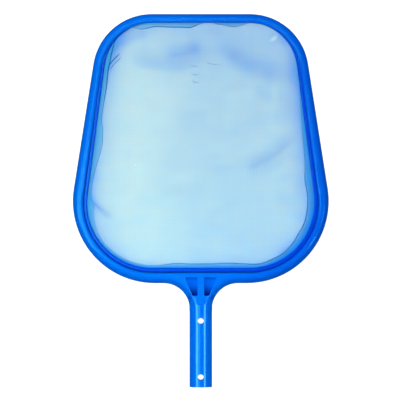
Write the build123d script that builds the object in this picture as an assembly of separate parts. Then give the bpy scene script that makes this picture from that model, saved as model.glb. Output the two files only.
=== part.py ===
from build123d import *
from math import cos, radians, tan
import os

# The head of a leaf skimmer, lying on its back: a moulded frame with a handle tube, a fine net, and the ring
# that clamps the net in the frame. +Y runs from the handle to the leading edge, and +Z comes out of the tray.
# The origin is the middle of the handle tube's open end, on the tube's axis. Lengths are in millimetres.

# Plan
LENGTH = 430.0  # open end of the handle to the leading edge
HEAD_LENGTH = 310.3  # heel, where the handle joins, to the leading edge
LEAD_HALF_WIDTH = 114.7  # where the straight sides would meet the leading edge
FLARE = radians(8.95)  # how far each side leans outwards on its way to the heel
LEAD_RADIUS = 68.0
HEEL_RADIUS = 94.5
ARM_RADIUS = 29.9  # hollow curve between the handle and the heel

# Handle tube
TUBE_RADIUS = 13.0
BORE_RADIUS = 10.4
BORE_DEPTH = 90.0
ROOT_RADIUS = 13.2  # the tube is a little stouter from the gusset on, where the pole stops
ROOT_LENGTH = 16.0
HOLE_RADIUS = 3.5
HOLE_PLACES = (11.5, 76.2)  # spring clip holes, from the open end
END_ROUND = 0.4
MOUTH_CHAMFER = 0.6

# Heights over the tube's axis
BACK = -ROOT_RADIUS - 0.1
LEAD_TOP = 6.4
HEEL_TOP = 11.3
LEDGE_BOTTOM = -7.0
SEAT = -4.5  # the ledge's upper face, where the net is clamped
NET_THICKNESS = 0.5
RING_BOTTOM = SEAT + NET_THICKNESS
RING_TOP = 0.6
SLOT_TOP = 1.0  # roof of the slot that takes the ring under the leading edge

# Distances in from the outer edge: at the leading edge, at the front and back ends of the sides, at the heel.
# The rim is slimmer towards the leading edge, where the ring hooks under its lip.
OUTER_EDGE = (0.0, 0.0, 0.0, 0.0)
RIM_INNER = (10.4, 8.6, 13.9, 12.0)
SLOT_WALL = (4.6, 6.4, 14.5, 12.7)
BACK_WALL = (12.0, 7.0, 14.2, 12.0)
NET_EDGE = (5.0, 6.8, 14.5, 12.6)
RING_OUTER = (5.2, 7.0, 15.0, 12.7)
RING_INNER = (9.8, 11.5, 19.5, 17.4)
LEDGE_INNER = (9.3, 11.0, 19.0, 16.9)
PEG_LINE = (7.5, 8.9, 17.0, 15.1)
CHANNEL_OUTER = (5.0, 5.0, 5.0, 5.0)
CHANNEL_INNER = (9.4, 4.5, 11.9, 9.4)

# Rounds on the rim and the ring
FLANK_ROUND = 12.88  # the rim's outer flank has nearly the tube's own round
BACK_ROUND = 2.4
BACK_DRAFT = 8.0  # degrees, below the parting line at the tube's axis
INNER_ROUND = 2.4
RING_ROUND = 1.2

# Bevel under the leading edge, which slides along the pool's wall
BEVEL_LENGTH = 14.0
BEVEL_HEIGHT = 8.0

# Gusset between the tube and the rim
STEM_HALF_WIDTH = 12.9
GUSSET_START = 88.0
SHOULDER = 13.0  # the slope from the tube's flank down to the flat back
FACET_START = 95.0  # where the gusset's flat top leaves the tube, with a small step down
FACET_RAMP = 0.7
FACET_HEIGHT = 12.05
FACET_ROUND = 5.0
POCKET_HEAD = 126.5
POCKET_FOOT = 105.4
POCKET_HEAD_REACH = 18.3  # the pockets narrow from the rim to the tube
POCKET_FOOT_REACH = 9.6
POCKET_ROUND = 1.2
RIB_HALF_WIDTH = 3.8  # the rib between the two pockets
FLOOR_HEAD = 3.5  # height of the pocket's sloping floor at each end
FLOOR_FOOT = -2.5
FLOOR_THICKNESS = 2.5

# Hollow in the rim's back, with cross webs
HOLLOW_ROOF = 3.0
HOLLOW_END = 318.0  # it runs along the heel and the sides, to here
HOLLOW_START = 38.0  # the hollow stops this far from the centre line at the heel
WEB_THICKNESS = 1.6
WEB_COUNT = 26

# Pegs that hold the ring through the net, in holes in the ledge
PEG_RADIUS = 1.3
PEG_TIP = LEDGE_BOTTOM - 0.8
PEG_FIT = 0.04
PEG_SLACK = 0.4
PEG_COUNT = 20
PEG_END = LENGTH - 60.0  # the ring has no pegs near the leading edge

HEEL = LENGTH - HEAD_LENGTH
BEYOND = 40.0  # how far a cutting shape runs past the part


def head_area(insets):
    """The head's plan, moved in at its leading edge, its sides and its heel."""
    lead, side_front, side_back, heel = insets
    far, near = LENGTH - lead, HEEL + heel

    def half_width(y):
        side = side_front + (side_back - side_front) * (LENGTH - y) / HEAD_LENGTH
        return LEAD_HALF_WIDTH + (LENGTH - y) * tan(FLARE) - side / cos(FLARE)

    corners = [
        (-half_width(near), near),
        (half_width(near), near),
        (half_width(far), far),
        (-half_width(far), far),
    ]
    area = Sketch() + make_face(Polyline(*corners, close=True))
    area = fillet(area.vertices().sort_by(Axis.Y)[2:], LEAD_RADIUS - side_front)
    return fillet(area.vertices().sort_by(Axis.Y)[:2], HEEL_RADIUS - side_back)


def layer(area, bottom, top):
    """A plan area as a solid between two heights."""
    return extrude(Pos(0, 0, bottom) * area, top - bottom, dir=(0, 0, 1))


def profile(points):
    """A solid with this outline in Y and Z, as wide as the head."""
    face = make_face(Polyline(*[(0, y, z) for y, z in points], close=True))
    return extrude(face, LENGTH / 2, dir=(1, 0, 0), both=True)


def around(insets, count):
    """Evenly spaced places round the head's plan. X points up there, Y across the rim and Z along it."""
    loop = head_area(insets).face().outer_wire()
    return [loop.location_at(i / count, x_dir=(0, 0, 1)) for i in range(count)]


def blank():
    """The head with its two arms, before anything is hollowed."""
    stem_end = HEEL + BEYOND
    stem = Pos(0, (GUSSET_START + stem_end) / 2) * Rectangle(2 * STEM_HALF_WIDTH, stem_end - GUSSET_START)
    plan = Sketch() + (head_area(OUTER_EDGE) + stem).face()
    notches = plan.vertices().filter_by(lambda v: abs(v.Y - HEEL) < 0.01 and abs(v.X) < TUBE_RADIUS)
    plan = fillet(notches, ARM_RADIUS)
    solid = extrude(plan, STEM_HALF_WIDTH) + extrude(plan, -BACK, dir=(0, 0, -1), taper=BACK_DRAFT)
    for side, round_radius in ((-1, FLANK_ROUND), (0, BACK_ROUND)):
        rim = solid.edges().group_by(Axis.Z)[side]
        solid = fillet(rim.filter_by(lambda e: e.center().Y > GUSSET_START + 0.1), round_radius)
    shoulder = [
        (GUSSET_START - BEYOND, 0),
        (GUSSET_START, 0),
        (GUSSET_START + SHOULDER, BACK),
        (GUSSET_START + SHOULDER, BACK - BEYOND),
        (GUSSET_START - BEYOND, BACK - BEYOND),
    ]
    bevel = [
        (LENGTH - BEVEL_LENGTH, BACK),
        (LENGTH, BACK + BEVEL_HEIGHT),
        (LENGTH + BEYOND, BACK + BEVEL_HEIGHT),
        (LENGTH + BEYOND, BACK - BEYOND),
        (LENGTH - BEVEL_LENGTH, BACK - BEYOND),
    ]
    return solid - profile(shoulder) - profile(bevel)


def tube(radius, length, start=0.0):
    """A round bar along the handle's axis."""
    return Pos(0, start, 0) * extrude(Plane.XZ * Circle(radius), -length)


def top_cut():
    """What lies over the rim's top: it falls from the handle to the leading edge."""
    fall = (HEEL_TOP - LEAD_TOP) / HEAD_LENGTH
    return profile(
        [
            (FACET_START, ROOT_RADIUS),
            (FACET_START + FACET_RAMP, FACET_HEIGHT),
            (HEEL, HEEL_TOP),
            (LENGTH + BEYOND, LEAD_TOP - fall * BEYOND),
            (LENGTH + BEYOND, TUBE_RADIUS + BEYOND),
            (FACET_START, TUBE_RADIUS + BEYOND),
        ]
    )


def tray():
    """The open inside of the head, with the slot under the leading edge, down to and past the ledge."""
    well = layer(head_area(RIM_INNER), SEAT, BEYOND)
    slot = layer(head_area(SLOT_WALL), SEAT, SLOT_TOP)
    hole = layer(head_area(LEDGE_INNER), BACK - BEYOND, SEAT)
    recess = layer(head_area(BACK_WALL), BACK - BEYOND, LEDGE_BOTTOM)
    return well + slot + hole + recess


def pockets():
    """The recesses each side of the gusset's rib, over and under a sloping floor."""
    slope = (FLOOR_HEAD - FLOOR_FOOT) / (POCKET_HEAD - POCKET_FOOT)
    near, far = POCKET_FOOT - BEYOND, POCKET_HEAD + BEYOND
    low, high = FLOOR_FOOT - slope * BEYOND, FLOOR_HEAD + slope * BEYOND
    drop = FLOOR_THICKNESS
    floor = profile([(near, low), (far, high), (far, high - drop), (near, low - drop)])
    outline = [
        (RIB_HALF_WIDTH, POCKET_FOOT),
        (POCKET_FOOT_REACH, POCKET_FOOT),
        (POCKET_HEAD_REACH, POCKET_HEAD),
        (RIB_HALF_WIDTH, POCKET_HEAD),
    ]
    area = Sketch() + make_face(Polyline(*outline, close=True))
    area = fillet(area.vertices(), POCKET_ROUND)
    pocket = layer(area, BACK - BEYOND, BEYOND) - floor
    return pocket + mirror(pocket, Plane.YZ)


def hollow():
    """The channel in the rim's back, along the heel and the sides, without its cross webs."""
    band = head_area(CHANNEL_OUTER) - head_area(CHANNEL_INNER)
    keep_clear = Pos(0, HEEL) * Rectangle(2 * HOLLOW_START, 2 * BEYOND)
    lead_end = Pos(0, HOLLOW_END, 0) * Rectangle(LENGTH, LENGTH, align=(Align.CENTER, Align.MIN))
    channel = layer(band - keep_clear - lead_end, BACK - 1, HOLLOW_ROOF)
    middle = [(a + b) / 2 for a, b in zip(CHANNEL_OUTER, CHANNEL_INNER)]
    for place in around(middle, WEB_COUNT):
        channel -= place * Box(2 * BEYOND, BEYOND, WEB_THICKNESS)
    return channel


def peg_places():
    """Where the ring's pegs stand: all round except near the leading edge."""
    return [place.position for place in around(PEG_LINE, PEG_COUNT) if place.position.Y < PEG_END]


def rods(radius, bottom, top):
    """Upright rods at the pegs' places."""
    rod = Cylinder(radius, top - bottom, align=(Align.CENTER, Align.CENTER, Align.MIN))
    return [Pos(spot.X, spot.Y, bottom) * rod for spot in peg_places()]


def round_facet(body):
    """The soft edge between the gusset's flat top and the flanks of its arms."""
    edges = [e for e in body.edges() if FACET_START + 1 < e.center().Y < HEEL and e.center().Z > HEEL_TOP - 0.5]
    return fillet(edges, FACET_ROUND)


def round_inside(body):
    """The soft edge between the rim's top and its inner wall."""
    wall = layer(offset(head_area(RIM_INNER), 0.3) - offset(head_area(RIM_INNER), -0.3), LEAD_TOP - 1, BEYOND)
    inside = [e for e in body.edges() if wall.is_inside(e.center()) and wall.is_inside(e @ 0.1)]
    return fillet(inside, INNER_ROUND)


def make_frame():
    """The one-piece moulding: rim, ledge, gusset and handle tube."""
    body = blank() + tube(TUBE_RADIUS, GUSSET_START + 1) + tube(ROOT_RADIUS, ROOT_LENGTH, GUSSET_START)
    body = round_facet(body - top_cut())
    body = round_inside(body - tray())
    body -= pockets()
    body -= hollow()
    mouth = [e for e in body.edges().filter_by(GeomType.CIRCLE) if abs(e.center().Y) < 0.01]
    body = fillet(mouth, END_ROUND)
    body -= tube(BORE_RADIUS, BORE_DEPTH)
    lip = [e for e in body.edges().filter_by(GeomType.CIRCLE) if abs(e.center().Y) < 0.01]
    body = chamfer([e for e in lip if abs(e.radius - BORE_RADIUS) < 0.01], MOUTH_CHAMFER)
    for place in HOLE_PLACES:
        body -= Pos(0, place, 0) * Cylinder(HOLE_RADIUS, 2 * BEYOND)
    for hole in rods(PEG_RADIUS + PEG_FIT, BACK, SEAT + 1):
        body -= hole
    return body


def make_ring():
    """The clamping ring, with the pegs that go through the net into the ledge."""
    ring = layer(head_area(RING_OUTER) - head_area(RING_INNER), RING_BOTTOM, RING_TOP)
    ring = fillet(ring.edges().group_by(Axis.Z)[-1], RING_ROUND)
    for peg in rods(PEG_RADIUS, PEG_TIP, RING_BOTTOM + 1):
        ring += peg
    return ring


def make_net():
    """The net's panel, held flat between the ledge and the ring."""
    net = layer(head_area(NET_EDGE), SEAT, RING_BOTTOM)
    for hole in rods(PEG_RADIUS + PEG_SLACK, SEAT - 1, RING_BOTTOM + 1):
        net -= hole
    return net


def main():
    os.makedirs("parts", exist_ok=True)
    export_step(make_frame(), "parts/frame.step")
    export_step(make_ring(), "parts/retaining_ring.step")
    export_step(make_net(), "parts/mesh_net.step")


main()
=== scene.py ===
from math import acos, atan2, cos, pi, radians, sin, tan

import bpy
import numpy as np
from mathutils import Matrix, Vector, noise


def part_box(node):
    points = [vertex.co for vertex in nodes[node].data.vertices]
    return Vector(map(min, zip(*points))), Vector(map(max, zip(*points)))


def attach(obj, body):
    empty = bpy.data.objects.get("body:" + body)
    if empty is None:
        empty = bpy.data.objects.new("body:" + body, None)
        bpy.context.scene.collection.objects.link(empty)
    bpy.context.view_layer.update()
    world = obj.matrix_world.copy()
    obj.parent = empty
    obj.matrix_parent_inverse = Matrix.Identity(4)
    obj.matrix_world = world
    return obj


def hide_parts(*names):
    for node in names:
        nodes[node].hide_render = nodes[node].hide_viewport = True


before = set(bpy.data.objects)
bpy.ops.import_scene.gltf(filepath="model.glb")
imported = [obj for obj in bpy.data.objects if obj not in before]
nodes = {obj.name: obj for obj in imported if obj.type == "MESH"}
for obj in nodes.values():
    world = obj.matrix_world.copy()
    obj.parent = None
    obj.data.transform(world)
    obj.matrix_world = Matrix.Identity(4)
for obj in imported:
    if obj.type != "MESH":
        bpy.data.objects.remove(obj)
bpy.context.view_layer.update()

MM = 0.001

# The head's plan, as the CAD has it. Insets are distances in from the outer edge: at the leading
# edge, at the front and back ends of the sides, and at the heel.
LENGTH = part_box("frame")[1].y
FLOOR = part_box("frame")[0].z
HEAD_LENGTH = 310.3 * MM
LEAD_HALF_WIDTH = 114.7 * MM
FLARE = radians(8.95)
LEAD_RADIUS = 68 * MM
HEEL_RADIUS = 94.5 * MM
NET_EDGE = (5.0 * MM, 6.8 * MM, 14.5 * MM, 12.6 * MM)
RING_INNER = (9.8 * MM, 11.5 * MM, 19.5 * MM, 17.4 * MM)
ARC_STEPS = 40  # steps round each corner
OUTLINE_COUNT = 1400  # points on an outline that distances are measured to
CHUNK = 4000  # points measured at a time, to keep the arrays small


def rounded_path(insets, count):
    """Evenly spaced points round the head's plan, and the way in at each.

    They run clockwise from the middle of the leading edge.
    """
    lead, side_front, side_back, heel = insets

    def half_width(y):
        side = side_front + (side_back - side_front) * (LENGTH - y) / HEAD_LENGTH
        return LEAD_HALF_WIDTH + (LENGTH - y) * tan(FLARE) - side / cos(FLARE)

    far, near = LENGTH - lead, LENGTH - HEAD_LENGTH + heel
    front, back = half_width(far), half_width(near)
    middle = Vector((0, far))
    corners = [Vector(c) for c in ((front, far), (back, near), (-back, near), (-front, far))]
    front_radius, back_radius = LEAD_RADIUS - side_front, HEEL_RADIUS - side_back
    radii = (front_radius, back_radius, back_radius, front_radius)
    befores, afters = [middle] + corners[:-1], corners[1:] + [middle]
    path = [middle]
    for before, corner, after, radius in zip(befores, corners, afters, radii):
        path += corner_arc(before, corner, after, radius)
    path = np.array([tuple(p) for p in path + [middle]])
    run = np.append(0, np.cumsum(np.linalg.norm(np.diff(path, axis=0), axis=1)))
    places = np.linspace(0, run[-1], count, endpoint=False)
    points = np.column_stack([np.interp(places, run, path[:, k]) for k in (0, 1)])
    along = np.roll(points, -1, axis=0) - np.roll(points, 1, axis=0)
    along /= np.linalg.norm(along, axis=1)[:, None]
    return points, np.column_stack([along[:, 1], -along[:, 0]])


def corner_arc(before, corner, after, radius):
    """Points on the arc that rounds a corner of a path."""
    a, b = (before - corner).normalized(), (after - corner).normalized()
    half = acos(a.dot(b)) / 2
    centre = corner + (a + b).normalized() * (radius / sin(half))
    start = corner + a * (radius / tan(half)) - centre
    turn = -(pi - 2 * half)
    first = atan2(start.y, start.x)
    angles = [first + turn * k / ARC_STEPS for k in range(ARC_STEPS + 1)]
    return [centre + radius * Vector((cos(t), sin(t))) for t in angles]


def depth_inside(points, insets):
    """How far inside an outline of the head each point is, and the nearest point on it.

    The depth is below 0 for a point outside the outline.
    """
    line, inward = rounded_path(insets, OUTLINE_COUNT)
    depth, nearest = np.empty(len(points)), np.empty((len(points), 2))
    for start in range(0, len(points), CHUNK):
        part = points[start : start + CHUNK]
        apart = part[:, None, :] - line[None, :, :]
        best = np.argmin((apart**2).sum(2), axis=1)
        rows = np.arange(len(part))
        depth[start : start + CHUNK] = (apart[rows, best] * inward[best]).sum(1)
        nearest[start : start + CHUNK] = line[best]
    return depth, nearest


def smooth(t):
    """0 to 1 with soft ends."""
    t = np.clip(t, 0, 1)
    return t * t * (3 - 2 * t)


def fade(value, start, end):
    """0 at the start and before it, 1 at the end and past it, with soft ends."""
    return smooth((value - start) / (end - start))


# Folds in the net, in millimetres: points along each, how far it fades to the left and to the
# right of that line, its height, and how much painted shade it puts on the net
FOLDS = [
    (
        [(-92, 384), (-76, 378), (-58, 373), (-41, 371), (-24, 371), (-12, 376), (-1, 384),
         (7, 394)],
        13, 7, 1.6, 0.09,
    ),
    ([(-48, 383), (-26, 384), (-12, 388), (-3, 394), (4, 402)], 12, 6, 1.0, 0.09),
    (
        [(22, 408), (26, 398), (32, 388), (43, 377), (58, 369), (76, 364), (92, 366), (107, 372)],
        14, 10, 1.8, 0.12,
    ),
    (
        [(112, 292), (101, 283), (92, 275), (81, 266), (69, 259), (56, 254), (40, 251)],
        4, 12, 1.6, 0.11,
    ),
    ([(99, 269), (84, 257), (68, 250), (50, 247)], 6, 9, 0.3, 0.06),
    ([(98, 360), (94, 335), (93, 310), (97, 290)], 9, 9, 0.8, 0.03),
    ([(60, 345), (72, 336), (86, 334)], 9, 7, 0.8, 0.04),
    ([(-129, 228), (-126, 216), (-119, 209), (-111, 201), (-100, 191)], 4.5, 4.5, 0.5, 0.15),
    ([(-89, 386), (-97, 380), (-103, 373), (-107, 364), (-109, 350)], 3, 3.5, 0.3, 0.08),
    (
        [(-112, 360), (-106, 378), (-97, 391), (-84, 401), (-68, 407), (-44, 410)],
        5, 6, 0.4, 0.10,
    ),
    ([(117, 370), (112, 384), (104, 395), (93, 404), (80, 409)], 5, 5, 0.3, 0.09),
    ([(80, 398), (85, 402), (89, 405)], 2.0, 1.4, 0.8, -0.22),  # a painted glint, so lighter
]
FOLD_ENDS = 0.3  # share of a fold's length over which each end fades

# Pinched creases in the net, in millimetres: points on each, and how much thicker the strand's
# radius is at its middle than at its tips
CREASES = [
    ([(6, 375), (11, 373), (17, 372), (23, 373)], 0.13),
    ([(-12, 371), (-8, 370), (-3, 370)], 0.16),
    ([(-11, 362), (-7, 360), (-3, 361)], 0.15),
    ([(-10, 354), (-6, 351), (-1, 352)], 0.18),
    ([(-93, 385), (-97, 381), (-102, 376), (-106, 370), (-108, 363)], 0.45),
    ([(-91, 381), (-96, 376), (-101, 371), (-105, 365)], 0.25),
    ([(-125, 214), (-120, 209), (-114, 203)], 0.12),
]
CREASE_TIP = 0.08 * MM
CREASE_TAPER = 6  # points over which each end of a crease thins out
CREASE_LIFT = 0.15 * MM
CURVE_STEPS = 8  # points on a smooth curve for each listed one


def polyline_distance(points, line):
    """Each point's distance from a line of points, and how far along the line that is.

    The distance is above 0 to the line's left, and the place runs from 0 to 1.
    """
    lengths = np.linalg.norm(np.diff(line, axis=0), axis=1)
    total, run = lengths.sum(), 0.0
    best, place = np.full(len(points), np.inf), np.zeros(len(points))
    for a, b, length in zip(line[:-1], line[1:], lengths):
        t = np.clip(((points - a) @ (b - a)) / length**2, 0, 1)
        off = points - (a + t[:, None] * (b - a))
        gap = np.linalg.norm(off, axis=1)
        left = (b - a)[0] * off[:, 1] - (b - a)[1] * off[:, 0] > 0
        closer = gap < np.abs(best)
        best[closer] = np.where(left, gap, -gap)[closer]
        place[closer] = ((run + t * length) / total)[closer]
        run += length
    return best, place


def fine_curve(points):
    """A smooth curve through listed points (Catmull-Rom)."""
    p = np.array(points, float)
    p = np.vstack([2 * p[0] - p[1], p, 2 * p[-1] - p[-2]])
    out = []
    for i in range(1, len(p) - 2):
        for k in range(CURVE_STEPS):
            t = k / CURVE_STEPS
            out.append(
                0.5
                * (
                    2 * p[i]
                    + (p[i + 1] - p[i - 1]) * t
                    + (2 * p[i - 1] - 5 * p[i] + 4 * p[i + 1] - p[i + 2]) * t**2
                    + (3 * p[i] - p[i - 1] - 3 * p[i + 1] + p[i + 2]) * t**3
                )
            )
    return np.array(out + [p[-2]])


NOISE_GAIN = 1.6  # brings Blender's noise up to about -1 to 1


def waves(points, size, seed):
    """Soft noise between about -1 and 1, whose bumps are this size."""
    return NOISE_GAIN * np.array([noise.noise(Vector((*place, seed))) for place in points / size])


# The net's shape
CLAMP_HEIGHT = (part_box("mesh_net")[0].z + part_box("mesh_net")[1].z) / 2
GRID = 1.5 * MM  # spacing of the net's vertices
SAG = 3.2 * MM
SAG_REACH = 45 * MM  # how far inside the ring it has most of its sag
FREE_REACH = 9 * MM  # how far inside the ring its puckers and folds have their full height
PUCKERS = ((0.9 * MM, 75 * MM, 3.1), (0.28 * MM, 26 * MM, 7.7))  # height, size and seed


def net_surface(points):
    """The net's height at each point, and how much painted shade its folds put there."""
    inside, _ = depth_inside(points, RING_INNER)
    free = smooth(inside / FREE_REACH)
    bowl = SAG * (1 - np.exp(-np.clip(inside, 0, None) / SAG_REACH))
    height = -bowl + free * sum(rise * waves(points, size, seed) for rise, size, seed in PUCKERS)
    shade = np.zeros(len(points))
    for line, on_left, on_right, rise, darker in FOLDS:
        gap, place = polyline_distance(points, fine_curve(line) * MM)
        ends = smooth(np.minimum(place, 1 - place) / FOLD_ENDS)
        ridge = np.exp(-((gap / (np.where(gap > 0, on_left, on_right) * MM)) ** 2)) * ends
        height += free * rise * MM * ridge
        shade += darker * ridge
    return CLAMP_HEIGHT + height, shade


# Parts of the net, seen from above with the leading edge at the top: where each starts and where
# it is full, in millimetres. The left reaches the middle; east and west are strips by the rim.
LEFT, FRONT, HEEL = (8, -77), (335, 405), (210, 160)
EAST, WEST = (70, 100), (-70, -100)
OPEN_FRONT = (360, 400)
OPEN_RIGHT = (-60, 0)
# The net's tone, which is how much plain light comes through it, from 0 to 1, and what its left
# and its front add to that: painted light makes the left lighter, and the front is darker
TONE, TONE_PAINTED_LIGHT_LEFT, TONE_FRONT = 0.415, 0.10, -0.085
# What the rim's painted shade takes from it: everywhere, more at the heel, and more at the sides
RIM_SHADE, RIM_SHADE_HEEL, RIM_SHADE_SIDES = 0.18, 0.10, 0.24
RIM_REACH, RIM_REACH_EAST = 7.5, 2  # how far that shade reaches in, and how much further at east
WEST_SHADE, WEST_REACH = 0.07, 28  # a second, wider shade
OPEN_SHARE = 0.75  # the share of the rim's shade that is missing at the front right
# Unevenness in the tone: strength, size of the bumps, seed, and how x and y are scaled
TONE_WAVES = (
    (0.018, 38 * MM, 5.5, (1, 1)),
    (0.016, 14 * MM, 8.5, (1, 1)),
    (0.014, 4.5 * MM, 2.5, (0.15, 1)),
    (0.009, 5 * MM, 6.5, (1, 0.1)),
)
TONE_RANGE = (0.05, 0.6)


def net_tone(points, shade):
    """How much plain light comes through the net at each point, with painted light at its left and
    painted shade by the rim, less what its folds take.
    """
    inside, _ = depth_inside(points, RING_INNER)
    inside = np.clip(inside, 0, None) / MM
    x, y = points[:, 0] / MM, points[:, 1] / MM
    left, front, heel = fade(x, *LEFT), fade(y, *FRONT), fade(y, *HEEL)
    east, west = fade(x, *EAST), fade(x, *WEST)
    unshaded = OPEN_SHARE * fade(y, *OPEN_FRONT) * fade(x, *OPEN_RIGHT)
    by_rim = RIM_SHADE + RIM_SHADE_HEEL * heel + RIM_SHADE_SIDES * (east + west * (1 - heel))
    by_rim *= np.exp(-inside / (RIM_REACH + RIM_REACH_EAST * east))
    by_rim += WEST_SHADE * west * np.exp(-inside / WEST_REACH)
    tone = TONE + TONE_PAINTED_LIGHT_LEFT * left + TONE_FRONT * front - by_rim * (1 - unshaded)
    for strength, size, seed, squeeze in TONE_WAVES:
        tone += strength * waves(points * squeeze, size, seed)
    return np.clip(tone - shade, *TONE_RANGE)


def mesh_object(name, vertices, faces, attributes=()):
    """A smooth-shaded mesh object, with number attributes on its points."""
    mesh = bpy.data.meshes.new(name)
    mesh.from_pydata([tuple(v) for v in vertices], [], [tuple(f) for f in faces])
    for key, values in attributes:
        layer = mesh.attributes.new(key, "FLOAT", "POINT")
        layer.data.foreach_set("value", np.asarray(values, np.float32))
    mesh.polygons.foreach_set("use_smooth", [True] * len(mesh.polygons))
    mesh.update()
    made = bpy.data.objects.new(name, mesh)
    bpy.context.scene.collection.objects.link(made)
    return made


# How the net's tone becomes its cover, which is how dense it looks, and its tint, which is 0 for
# blue and 1 for cyan; both carry the tone's painted light and shade
CLOSED_COVER, COVER_BY_TONE = 0.965, 0.78
BLUE_TONE, TINT_SPAN = 0.2, 0.4
# A vertex this near the outline, in grid steps, moves onto it
EDGE_OUTSIDE, EDGE_INSIDE = 0.6, 0.4


def make_net():
    """The net: a sheet whose edge lies flat in the clamp, and which sags inside the ring."""
    low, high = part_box("mesh_net")
    xs = np.arange(low.x - GRID, high.x + 2 * GRID, GRID)
    ys = np.arange(low.y - GRID, high.y + 2 * GRID, GRID)
    flat = np.array([(x, y) for y in ys for x in xs])
    depth, nearest = depth_inside(flat, NET_EDGE)
    kept = depth > -EDGE_OUTSIDE * GRID
    on_edge = kept & (depth < EDGE_INSIDE * GRID)
    flat[on_edge] = nearest[on_edge]
    index = np.cumsum(kept) - 1
    columns = len(xs)
    faces = []
    for row in range(len(ys) - 1):
        for column in range(columns - 1):
            a = row * columns + column
            quad = [a, a + 1, a + columns + 1, a + columns]
            if kept[quad].all() and not on_edge[quad].all():
                faces.append([index[q] for q in quad])
    flat = flat[kept]
    height, shade = net_surface(flat)
    tone = net_tone(flat, shade)
    cover_and_shade, tint = CLOSED_COVER - COVER_BY_TONE * tone, (tone - BLUE_TONE) / TINT_SPAN
    looks = [("cover_and_shade", cover_and_shade), ("tint", tint)]
    return mesh_object("net_sheet", np.column_stack([flat, height]), faces, looks)


# The margin: how wide the folded-back edge of the net shows inside the ring, in millimetres, at
# places round the ring from 0 to 1, clockwise from the middle of the leading edge. Below 0 it is
# under the ring.
MARGIN = [
    (0.008, -1.5), (0.019, 1.4), (0.029, 2.8), (0.041, 5.4), (0.052, 2.5), (0.064, -1.5),
    (0.15, -1.5), (0.19, 1.5), (0.23, 4.0), (0.268, 5.4), (0.284, 8.2), (0.3, 7.3), (0.325, 8.0),
    (0.344, 7.6), (0.36, 8.4), (0.372, 7.2), (0.386, 5.7), (0.398, 5.2), (0.411, 5.0),
    (0.426, 3.6), (0.452, 5.3), (0.468, 5.8), (0.484, 4.8), (0.516, 4.8), (0.529, 5.8),
    (0.541, 4.2), (0.551, 3.2), (0.56, 3.4), (0.6, 3.4), (0.64, 3.0), (0.668, 6.0), (0.681, 8.2),
    (0.69, 5.2), (0.698, 3.5), (0.709, 3.2), (0.721, 4.1), (0.732, 5.5), (0.742, 7.0),
    (0.749, 8.4), (0.762, 9.0), (0.777, 7.6), (0.787, 4.4), (0.796, 4.1), (0.808, 4.5),
    (0.823, 5.2), (0.837, 5.1), (0.848, 4.4), (0.857, 5.2), (0.866, 5.0), (0.876, 3.2),
    (0.888, 0.5), (0.896, -1.5), (0.914, -1.5), (0.924, 6.0), (0.93, 6.3), (0.945, 4.3),
    (0.962, 5.2), (0.977, 5.2), (0.988, 6.1), (0.994, 2.8), (0.999, 1.4),
]
# How plainly the margin's rolled edge shows, from 0 to 1, at places round the ring
ROLL = [
    (0.0, 0.6), (0.03, 0.4), (0.06, 0.2), (0.2, 0.15), (0.27, 0.3), (0.31, 0.65), (0.43, 0.7),
    (0.46, 0.6), (0.54, 0.5), (0.555, 0.05), (0.66, 0.0), (0.72, 0.3), (0.77, 0.3), (0.81, 0.4),
    (0.84, 1.0), (0.88, 0.8), (0.91, 0.2), (0.94, 0.7), (0.99, 0.7),
]
RING_COUNT = 900  # points round the ring
RING_BLEND = 9  # points that each value of the two tables is averaged over
MARGIN_ROWS = 8
MARGIN_HIDDEN = 3.0 * MM  # how far the margin reaches under the ring
MARGIN_LIFT = 0.3 * MM  # how high its free edge stands on the net
MARGIN_LOW = 0.4  # share of that lift at its other edge, and again beside the ring
MARGIN_RISE = 2 * MM  # how far inside the ring it has its full lift
MARGIN_BY_RING = 2.3 * MM  # how far the ring's shade reaches over it, at the heel
MARGIN_LEFT = (100, -100)  # from none of it to all of it, in millimetres
MARGIN_HEEL, HEEL_SHIFT, HEEL_FADE = 250, 50, 60  # where it starts, less at the left, and its fade
# Its cover and tint, and how much the free edge, the heel, the left and the ring change them; the
# left's change is painted light and the ring's is painted shade
MARGIN_COVER, COVER_EDGE, COVER_HEEL, COVER_LEFT, COVER_RING = 0.82, -0.22, -0.08, -0.10, 0.50
MARGIN_TINT, TINT_EDGE, TINT_LEFT = 0.22, 0.23, 0.27
ROLL_SHOWN = 1.5 * MM  # how wide the margin is where its roll shows in full
ROLL_RADIUS, ROLL_SWELL = 0.1 * MM, 0.6 * MM  # where the roll doesn't show, and what showing adds
ROLL_LIFT = 0.1 * MM


def around_ring(table):
    """A table's value at each point round the ring, without its sharp corners."""
    turns = np.arange(RING_COUNT) / RING_COUNT
    places, values = zip(*table)
    plain = np.interp(turns, places, values, period=1)
    wing = RING_BLEND // 2
    wrapped = np.concatenate([plain[-wing:], plain, plain[:wing]])
    return np.convolve(wrapped, np.ones(RING_BLEND) / RING_BLEND, mode="valid")


def ring_and_margin():
    """Points round the ring's inner edge, the way in at each, and how wide the margin shows."""
    line, inward = rounded_path(RING_INNER, RING_COUNT)
    return line, inward, around_ring(MARGIN) * MM


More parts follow.
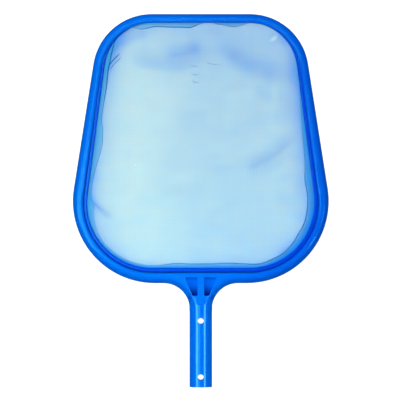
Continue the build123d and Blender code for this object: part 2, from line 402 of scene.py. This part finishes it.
def make_margin():
    """The net's edge, folded back over itself: a band that the ring holds down."""
    line, inward, width = ring_and_margin()
    shares = np.arange(MARGIN_ROWS) / (MARGIN_ROWS - 1)
    reach = [share * (width + MARGIN_HIDDEN) - MARGIN_HIDDEN for share in shares]
    flat = np.concatenate([line + inward * row[:, None] for row in reach])
    edge = np.repeat(shares, RING_COUNT)
    height, _ = net_surface(flat)
    inside, _ = depth_inside(flat, RING_INNER)
    lift = MARGIN_LIFT * (MARGIN_LOW + (1 - MARGIN_LOW) * edge)
    lift *= MARGIN_LOW + (1 - MARGIN_LOW) * smooth(inside / MARGIN_RISE)
    faces = []
    for k in range(MARGIN_ROWS - 1):
        here, beyond = k * RING_COUNT, (k + 1) * RING_COUNT
        for i in range(RING_COUNT):
            j = (i + 1) % RING_COUNT
            faces.append((here + i, beyond + i, beyond + j, here + j))
    # painted light at the left, and painted shade from the ring at the heel
    x, y = flat[:, 0] / MM, flat[:, 1] / MM
    left = fade(x, *MARGIN_LEFT)
    heel = smooth((MARGIN_HEEL - HEEL_SHIFT * left - y) / HEEL_FADE)
    ring_painted_shade = heel * np.exp(-np.clip(inside, 0, None) / MARGIN_BY_RING)
    cover_and_shade = MARGIN_COVER + COVER_EDGE * edge + COVER_HEEL * heel * edge
    cover_and_shade += COVER_LEFT * left * (1 - heel) + COVER_RING * ring_painted_shade
    tint = (MARGIN_TINT + TINT_EDGE * edge + TINT_LEFT * left) * (1 - ring_painted_shade)
    looks = [("cover_and_shade", np.minimum(cover_and_shade, 1)), ("tint", tint)]
    return mesh_object("net_margin", np.column_stack([flat, height + lift]), faces, looks)


STRAND_SIDES = 6


def rolled(path, radius, closed=False):
    """A round strand along a path, as vertices and faces."""
    count = len(path)
    if closed:
        along = np.roll(path, -1, axis=0) - np.roll(path, 1, axis=0)
    else:
        along = np.gradient(path, axis=0)
    along /= np.linalg.norm(along, axis=1)[:, None]
    up = np.array([0.0, 0.0, 1.0])
    side = np.cross(along, up)
    side /= np.linalg.norm(side, axis=1)[:, None]
    vertices = []
    for k in range(STRAND_SIDES):
        t = 2 * pi * k / STRAND_SIDES
        vertices.append(path + radius[:, None] * (side * cos(t) + up * sin(t)))
    faces = []
    for k in range(STRAND_SIDES):
        n = (k + 1) % STRAND_SIDES
        for i in range(count if closed else count - 1):
            j = (i + 1) % count
            faces.append((k * count + i, k * count + j, n * count + j, n * count + i))
    return np.concatenate(vertices), faces


def make_fold_line():
    """The margin's rolled edge and the net's pinched creases, as thick as a few threads."""
    line, inward, width = ring_and_margin()
    flat = line + inward * width[:, None]
    shown = smooth(width / ROLL_SHOWN) * around_ring(ROLL)
    height, _ = net_surface(flat)
    path = np.column_stack([flat, height + (MARGIN_LIFT + ROLL_LIFT) * shown])
    vertices, faces = rolled(path, ROLL_RADIUS + ROLL_SWELL * shown, closed=True)
    for crease, swell in CREASES:
        flat = fine_curve(crease) * MM
        height, _ = net_surface(flat)
        places = np.arange(len(flat))
        ends = smooth(np.minimum(places, places[::-1]) / CREASE_TAPER)
        path = np.column_stack([flat, height + CREASE_LIFT])
        strand, more = rolled(path, CREASE_TIP + swell * MM * ends)
        faces += [tuple(i + len(vertices) for i in face) for face in more]
        vertices = np.concatenate([vertices, strand])
    return mesh_object("net_fold_edge", vertices, faces)


class Nodes:
    """A material's node tree, written a node at a time."""

    def __init__(self, name):
        self.material = bpy.data.materials.new(name)
        self.material.use_nodes = True
        self.tree = self.material.node_tree
        self.shader = self.tree.nodes["Principled BSDF"]

    def add(self, kind, inputs=(), **settings):
        node = self.tree.nodes.new(kind)
        for key, value in settings.items():
            setattr(node, key, value)
        for key, value in dict(inputs).items():
            if isinstance(value, bpy.types.NodeSocket):
                self.tree.links.new(value, node.inputs[key])
            else:
                node.inputs[key].default_value = value
        return node

    def math(self, operation, a, b=0.0):
        return self.add("ShaderNodeMath", {0: a, 1: b}, operation=operation).outputs[0]

    def both(self, a, b):
        """The product, which is 1 only where both are."""
        return self.math("MULTIPLY", a, b)

    def noise(self, place, look):
        """Noise between 0 and 1, of this scale and detail."""
        scale, detail = look
        inputs = {"Vector": place, "Scale": scale, "Detail": detail}
        return self.add("ShaderNodeTexNoise", inputs).outputs["Fac"]

    def centred(self, place, look):
        """Noise moved down, so that it swings about 0."""
        return self.math("SUBTRACT", self.noise(place, look), 0.5)

    def ramp(self, value, low, high, to_low=0.0, to_high=1.0):
        inputs = {"Value": value, "From Min": low, "From Max": high}
        inputs.update({"To Min": to_low, "To Max": to_high})
        made = self.add("ShaderNodeMapRange", inputs, interpolation_type="SMOOTHSTEP")
        return made.outputs["Result"]

    def mix(self, share, a, b):
        return self.add("ShaderNodeMix", {0: share, 6: a, 7: b}, data_type="RGBA").outputs[2]

    def attribute(self, name):
        return self.add("ShaderNodeAttribute", attribute_name=name).outputs["Fac"]

    def place(self):
        return self.add("ShaderNodeTexCoord").outputs["Object"]

    def axes(self, place):
        return self.add("ShaderNodeSeparateXYZ", {0: place}).outputs

    def bump(self, height, look, normal=None):
        """A normal bent by a height, of this strength and distance."""
        strength, distance = look
        inputs = {"Height": height, "Strength": strength, "Distance": distance}
        if normal is not None:
            inputs["Normal"] = normal
        return self.add("ShaderNodeBump", inputs).outputs["Normal"]

    def link(self, socket, name):
        self.tree.links.new(socket, self.shader.inputs[name])

    def set(self, **values):
        """Sets the shader's own sockets, with _ for the spaces in their names."""
        for name, value in values.items():
            self.shader.inputs[name.replace("_", " ")].default_value = value


# Colours are linear, with their alpha
WHITE = (1.0, 1.0, 1.0, 1.0)
# Each plastic's two colours are painted light and shade: lighter on the left, darker on the right
FRAME_SHADED_SIDE, FRAME_LIT_SIDE = (0.0, 0.115, 0.76, 1.0), (0.0, 0.165, 0.84, 1.0)
# The ring's colours are darker than the frame's: painted shade for the groove it sits in
RING_SHADED_SIDE, RING_LIT_SIDE = (0.0, 0.05, 0.62, 1.0), (0.0, 0.06, 0.68, 1.0)
# painted shade in the feet of the gusset's pockets
POCKET_SHADE_COLOUR = (0.0, 0.012, 0.30, 1.0)
PLASTIC_GLINT = (0.2, 0.95, 1.0, 1.0)
THREAD_BLUE, THREAD_CYAN = (0.015, 0.29, 0.72, 1.0), (0.035, 0.52, 0.50, 1.0)
MARGIN_BLUE, MARGIN_CYAN = (0.0, 0.12, 0.66, 1.0), (0.04, 0.58, 0.80, 1.0)
# painted light: the colour in which the margin glows, as though lit through from below
NET_PAINTED_GLOW = (0.0, 0.45, 0.8, 1.0)
FOLD_DARK, FOLD_LIGHT = (0.0, 0.14, 0.42, 1.0), (0.0, 0.24, 0.52, 1.0)
FLOOR_DARK, FLOOR_LIGHT = (0.28, 0.28, 0.28, 1.0), (0.32, 0.32, 0.32, 1.0)
ROOM = (0.05, 0.45, 1.0, 1.0)

# Noise textures: scale and detail
CLOUDS = (18.0, 3.0)
SCUFFS = (420.0, 4.0)
PEEL = (650.0, 1.0)
SLOW_WAVES = (60.0, 1.0)
WANDER = (9.0, 1.0)
TWIST = (700.0, 2.0)
FLOOR_CLOUDS = (3.0, 2.0)
# Bumps: strength and distance
PEEL_BUMP = (0.06, 0.1 * MM)
SLOW_BUMP = (0.15, 0.5 * MM)
WEAVE_BUMP = (0.3, 0.1 * MM)
TWIST_BUMP = (0.5, 0.2 * MM)

FRAME_ROUGHNESS = 0.15
RING_ROUGHNESS = 0.2
LIT_TO_SHADED_SPAN = (-60 * MM, 150 * MM)  # painted light and shade: from the lit side's colour to the shaded side's, across the part
CLOUD_SWING = 100 * MM  # how far the clouds push that painted gradient to and fro
SCUFF_RANGE, SCUFF_LOW, SCUFF_HIGH = (0.3, 0.75), -0.02, 0.04  # what scuffs do to the roughness
TWIST_RANGE = (0.3, 0.7)
# The painted shade at the feet of the gusset's pockets: where each side of it starts, and where it
# is full
FOOT_TOP, FOOT_BOTTOM = (10.5 * MM, 8 * MM), (-6 * MM, -4 * MM)
FOOT_FRONT, FOOT_BACK = (119 * MM, 105 * MM), (100 * MM, 103 * MM)
FOOT_SIDES = (16 * MM, 11 * MM)
WEAVE_PITCH = 2.5 * MM
THREAD_SHARE = 0.33  # thread width over pitch
WEAVE_WAVER = 6.0 * MM  # how far the threads wander
THREAD_SOFTNESS = 0.25  # how far each thread's edges spread, as a part of the weave's height
NET_CONTRAST = 0.095  # between threads and gaps
MARGIN_CONTRAST = 0.08
MARGIN_PAINTED_GLOW = 0.12


def painted_pocket_shade(n, across, along, up):
    """Where the painted shade at the feet of the gusset's two pockets lies, where little light
    reaches.
    """
    low = n.both(n.ramp(up, *FOOT_TOP), n.ramp(up, *FOOT_BOTTOM))
    foot = n.both(n.ramp(along, *FOOT_FRONT), n.ramp(along, *FOOT_BACK))
    middle = n.ramp(n.math("ABSOLUTE", across), *FOOT_SIDES)
    return n.both(n.both(low, foot), middle)


def plastic(name, deep, light, roughness):
    """Glossy moulded polypropylene.

    Its colour holds painted light and shade: lighter at the left, darker at the right, pushed to
    and fro by clouds, and darker in the feet of the gusset's pockets. It has a faint orange peel,
    slow waves from the moulding, and fine scuffs in its gloss.
    """
    n = Nodes(name)
    place = n.place()
    across, along, up = n.axes(place)
    cloud = n.both(n.centred(place, CLOUDS), CLOUD_SWING)
    # painted light and shade: lighter at the left, darker at the right, and painted shade in the
    # pockets' feet
    colour = n.mix(n.ramp(n.math("ADD", across, cloud), *LIT_TO_SHADED_SPAN), light, deep)
    n.link(n.mix(painted_pocket_shade(n, across, along, up), colour, POCKET_SHADE_COLOUR), "Base Color")
    glossy, scuffed = roughness + SCUFF_LOW, roughness + SCUFF_HIGH
    n.link(n.ramp(n.noise(place, SCUFFS), *SCUFF_RANGE, glossy, scuffed), "Roughness")
    peel = n.bump(n.noise(place, PEEL), PEEL_BUMP)
    n.link(n.bump(n.noise(place, SLOW_WAVES), SLOW_BUMP, peel), "Normal")
    n.set(IOR=1.49, Specular_Tint=PLASTIC_GLINT, Specular_IOR_Level=0.8)
    return n.material


def weave(n, place):
    """Where the threads of a slightly wavy plain weave are, and the weave's height."""
    axes = n.axes(place)
    waver = n.both(n.centred(place, WANDER), WEAVE_WAVER)
    x, y = n.math("ADD", axes["X"], waver), n.math("SUBTRACT", axes["Y"], waver)
    lines = [n.math("COSINE", n.both(value, 2 * pi / WEAVE_PITCH)) for value in (x, y)]
    crest = n.math("MAXIMUM", *lines)
    level = cos(pi * THREAD_SHARE)
    return n.ramp(crest, level - THREAD_SOFTNESS, level + THREAD_SOFTNESS), crest


def net_material(name, blue, cyan, contrast, painted_glow=0.0):
    """Fine plain-woven monofilament: threads over clear gaps.

    The mesh's attributes say how dense and how blue it looks.
    """
    n = Nodes(name)
    threads, crest = weave(n, n.place())
    coverage = 1 - (1 - THREAD_SHARE) ** 2
    # the tint and cover attributes carry the net's painted light and shade
    n.link(n.mix(n.attribute("tint"), blue, cyan), "Base Color")
    swing = n.both(n.math("SUBTRACT", threads, coverage), contrast)
    n.link(n.math("ADD", n.attribute("cover_and_shade"), swing), "Alpha")
    n.link(n.bump(crest, WEAVE_BUMP), "Normal")
    # the glow is painted light, for light that comes through the net
    n.set(Roughness=0.45, Specular_IOR_Level=0.2, Emission_Color=NET_PAINTED_GLOW, Emission_Strength=painted_glow)
    return n.material


def fold_material():
    """The rolled edge: several layers of thread, so darker and nearly solid."""
    n = Nodes("net_fold")
    twist = n.noise(n.place(), TWIST)
    n.link(n.mix(n.ramp(twist, *TWIST_RANGE), FOLD_DARK, FOLD_LIGHT), "Base Color")
    n.link(n.bump(twist, TWIST_BUMP), "Normal")
    n.set(Roughness=0.5, Alpha=0.95)
    return n.material


def floor_material():
    """A matt floor that is lit from within, so that it looks white whatever falls on it."""
    n = Nodes("floor")
    n.link(n.mix(n.noise(n.place(), FLOOR_CLOUDS), FLOOR_DARK, FLOOR_LIGHT), "Base Color")
    n.set(Roughness=1.0, Specular_IOR_Level=0.0, Emission_Color=WHITE, Emission_Strength=1.05)
    return n.material


def give(piece, material):
    """Puts one material on every slot of a piece."""
    if not piece.material_slots:
        piece.data.materials.append(material)
    for place in piece.material_slots:
        place.material = material


# The lights: sizes and distances in metres, and powers in watts. The strips and the gusset's
# lights stand on both sides, raised and leaning over as far as each other.
TILT = radians(42)
NEAR_DISTANCE = 1.1
STRIP_TARGET = Vector((0, -0.08, 0))
STRIP_SIZE, STRIP_POWER, STRIP_SPREAD = (0.5, 0.34), 0.085, radians(25)
GUSSET_TARGET = Vector((0, 0.115, 0))
GUSSET_ACROSS, GUSSET_BACK = 0.925, -0.381  # the way in plan from the gusset to its lights
GUSSET_SIZE, GUSSET_POWER, GUSSET_SPREAD = (0.12, 0.32), 0.022, radians(20)
BOX_TARGET, BOX_OFFSET = Vector((0, 0.105, 0)), Vector((-0.37, 0, 0.85))
BOX_SIZE, BOX_POWER, BOX_TINT = (0.41, 0.5), 1.7, (0.4, 0.9, 1.0)
OVERHEAD_OFFSET = Vector((-0.12, 0.3, 1.6))
OVERHEAD_SIZE, OVERHEAD_POWER = (0.6, 0.6), 21.0
# The room: the height of a direction, from -1, down, to 1, up, and how bright the room is there
ROOM_LOW, ROOM_HIGH = (-0.6, 0.6), (0.2, 0.12)


def area_light(name, offset, target, size, power, spread=pi, tint=(1.0, 1.0, 1.0)):
    """A rectangular light that stands off from its target and is aimed at it."""
    light = bpy.data.lights.new(name, "AREA")
    light.shape = "RECTANGLE"
    light.size, light.size_y = size
    light.energy = power
    light.color = tint
    light.spread = spread
    lamp = bpy.data.objects.new(name, light)
    place = target + offset
    lamp.location = place
    lamp.rotation_mode = "QUATERNION"
    lamp.rotation_quaternion = (target - place).to_track_quat("-Z", "Y")
    bpy.context.scene.collection.objects.link(lamp)
    return lamp


def make_lights():
    """Narrow strips by the handle and the gusset, a box low on the left, and one overhead."""
    lean = sin(TILT)
    for name, side in (("strip_left", -1), ("strip_right", 1)):
        offset = NEAR_DISTANCE * Vector((side * lean, 0, cos(TILT)))
        area_light(name, offset, STRIP_TARGET, STRIP_SIZE, STRIP_POWER, STRIP_SPREAD)
    for name, side in (("gusset_left", -1), ("gusset_right", 1)):
        across, back = side * GUSSET_ACROSS * lean, GUSSET_BACK * lean
        offset = NEAR_DISTANCE * Vector((across, back, cos(TILT)))
        area_light(name, offset, GUSSET_TARGET, GUSSET_SIZE, GUSSET_POWER, GUSSET_SPREAD)
    area_light("box_left", BOX_OFFSET, BOX_TARGET, BOX_SIZE, BOX_POWER, tint=BOX_TINT)
    middle = Vector((0, LENGTH / 2, 0))
    overhead = area_light("overhead", OVERHEAD_OFFSET, middle, OVERHEAD_SIZE, OVERHEAD_POWER)
    overhead.visible_glossy = False


def make_room():
    """A dim blue room, brighter below than above."""
    world = bpy.data.worlds.new("room")
    world.use_nodes = True
    tree = world.node_tree
    ways = tree.nodes.new("ShaderNodeTexCoord")
    split = tree.nodes.new("ShaderNodeSeparateXYZ")
    fade_up = tree.nodes.new("ShaderNodeMapRange")
    for end, (height, strength) in (("Min", ROOM_LOW), ("Max", ROOM_HIGH)):
        fade_up.inputs["From " + end].default_value = height
        fade_up.inputs["To " + end].default_value = strength
    tree.links.new(ways.outputs["Generated"], split.inputs[0])
    tree.links.new(split.outputs["Z"], fade_up.inputs["Value"])
    tree.links.new(fade_up.outputs["Result"], tree.nodes["Background"].inputs["Strength"])
    tree.nodes["Background"].inputs["Color"].default_value = ROOM
    bpy.context.scene.world = world


FLOOR_RADIUS = 9.0
COVE_RADIUS = 3.0
FLOOR_SIDES = 64
FLOOR_RINGS = 12  # in the flat part, and again in the cove


def make_floor():
    """A white floor that curves up into a wall a long way off.

    It is seen, but throws no light on the part.
    """
    steps = [(k + 1) / FLOOR_RINGS for k in range(FLOOR_RINGS)]
    rings = [(FLOOR_RADIUS * step, 0.0) for step in steps]
    for step in steps:
        turn = pi / 2 * step
        rings.append((FLOOR_RADIUS + COVE_RADIUS * sin(turn), COVE_RADIUS * (1 - cos(turn))))
    rings.append((FLOOR_RADIUS + COVE_RADIUS, 2 * COVE_RADIUS))
    vertices, faces = [(0, 0, FLOOR)], []
    for radius, rise in rings:
        for i in range(FLOOR_SIDES):
            t = 2 * pi * i / FLOOR_SIDES
            vertices.append((radius * cos(t), radius * sin(t), FLOOR + rise))
    for i in range(FLOOR_SIDES):
        j = (i + 1) % FLOOR_SIDES
        faces.append((0, 1 + i, 1 + j))
        for k in range(len(rings) - 1):
            inner, outer = 1 + k * FLOOR_SIDES, 1 + (k + 1) * FLOOR_SIDES
            faces.append((inner + i, outer + i, outer + j, inner + j))
    floor = mesh_object("floor", vertices, faces)
    floor.visible_diffuse = floor.visible_glossy = False
    give(floor, floor_material())


VIEW_WIDTH = 461.1 * MM  # what the picture spans at the handle's axis
VIEW_CENTRE = Vector((-0.9 * MM, 215.6 * MM, 0))
CAMERA_HEIGHT = 5.0
CLIP_START, CLIP_END = 0.1, 60.0
SENSOR_WIDTH = 36.0


def make_camera():
    """A camera high above the part that looks straight down, as the photograph does."""
    camera = bpy.data.cameras.new("camera")
    camera.sensor_width = SENSOR_WIDTH
    camera.lens = SENSOR_WIDTH * CAMERA_HEIGHT / VIEW_WIDTH
    camera.clip_start, camera.clip_end = CLIP_START, CLIP_END
    holder = bpy.data.objects.new("camera", camera)
    holder.location = VIEW_CENTRE + Vector((0, 0, CAMERA_HEIGHT))
    bpy.context.scene.collection.objects.link(holder)
    bpy.context.scene.camera = holder
    bpy.context.scene.view_settings.view_transform = "Standard"


make_camera()
make_lights()
make_room()
make_floor()

give(nodes["frame"], plastic("frame_plastic", FRAME_SHADED_SIDE, FRAME_LIT_SIDE, FRAME_ROUGHNESS))
give(nodes["retaining_ring"], plastic("ring_plastic", RING_SHADED_SIDE, RING_LIT_SIDE, RING_ROUGHNESS))

net = make_net()
margin = make_margin()
fold = make_fold_line()
give(net, net_material("net_mesh", THREAD_BLUE, THREAD_CYAN, NET_CONTRAST))
give(margin, net_material("net_margin", MARGIN_BLUE, MARGIN_CYAN, MARGIN_CONTRAST, MARGIN_PAINTED_GLOW))
give(fold, fold_material())
for piece in (net, margin, fold):
    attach(piece, "root")
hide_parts("mesh_net")
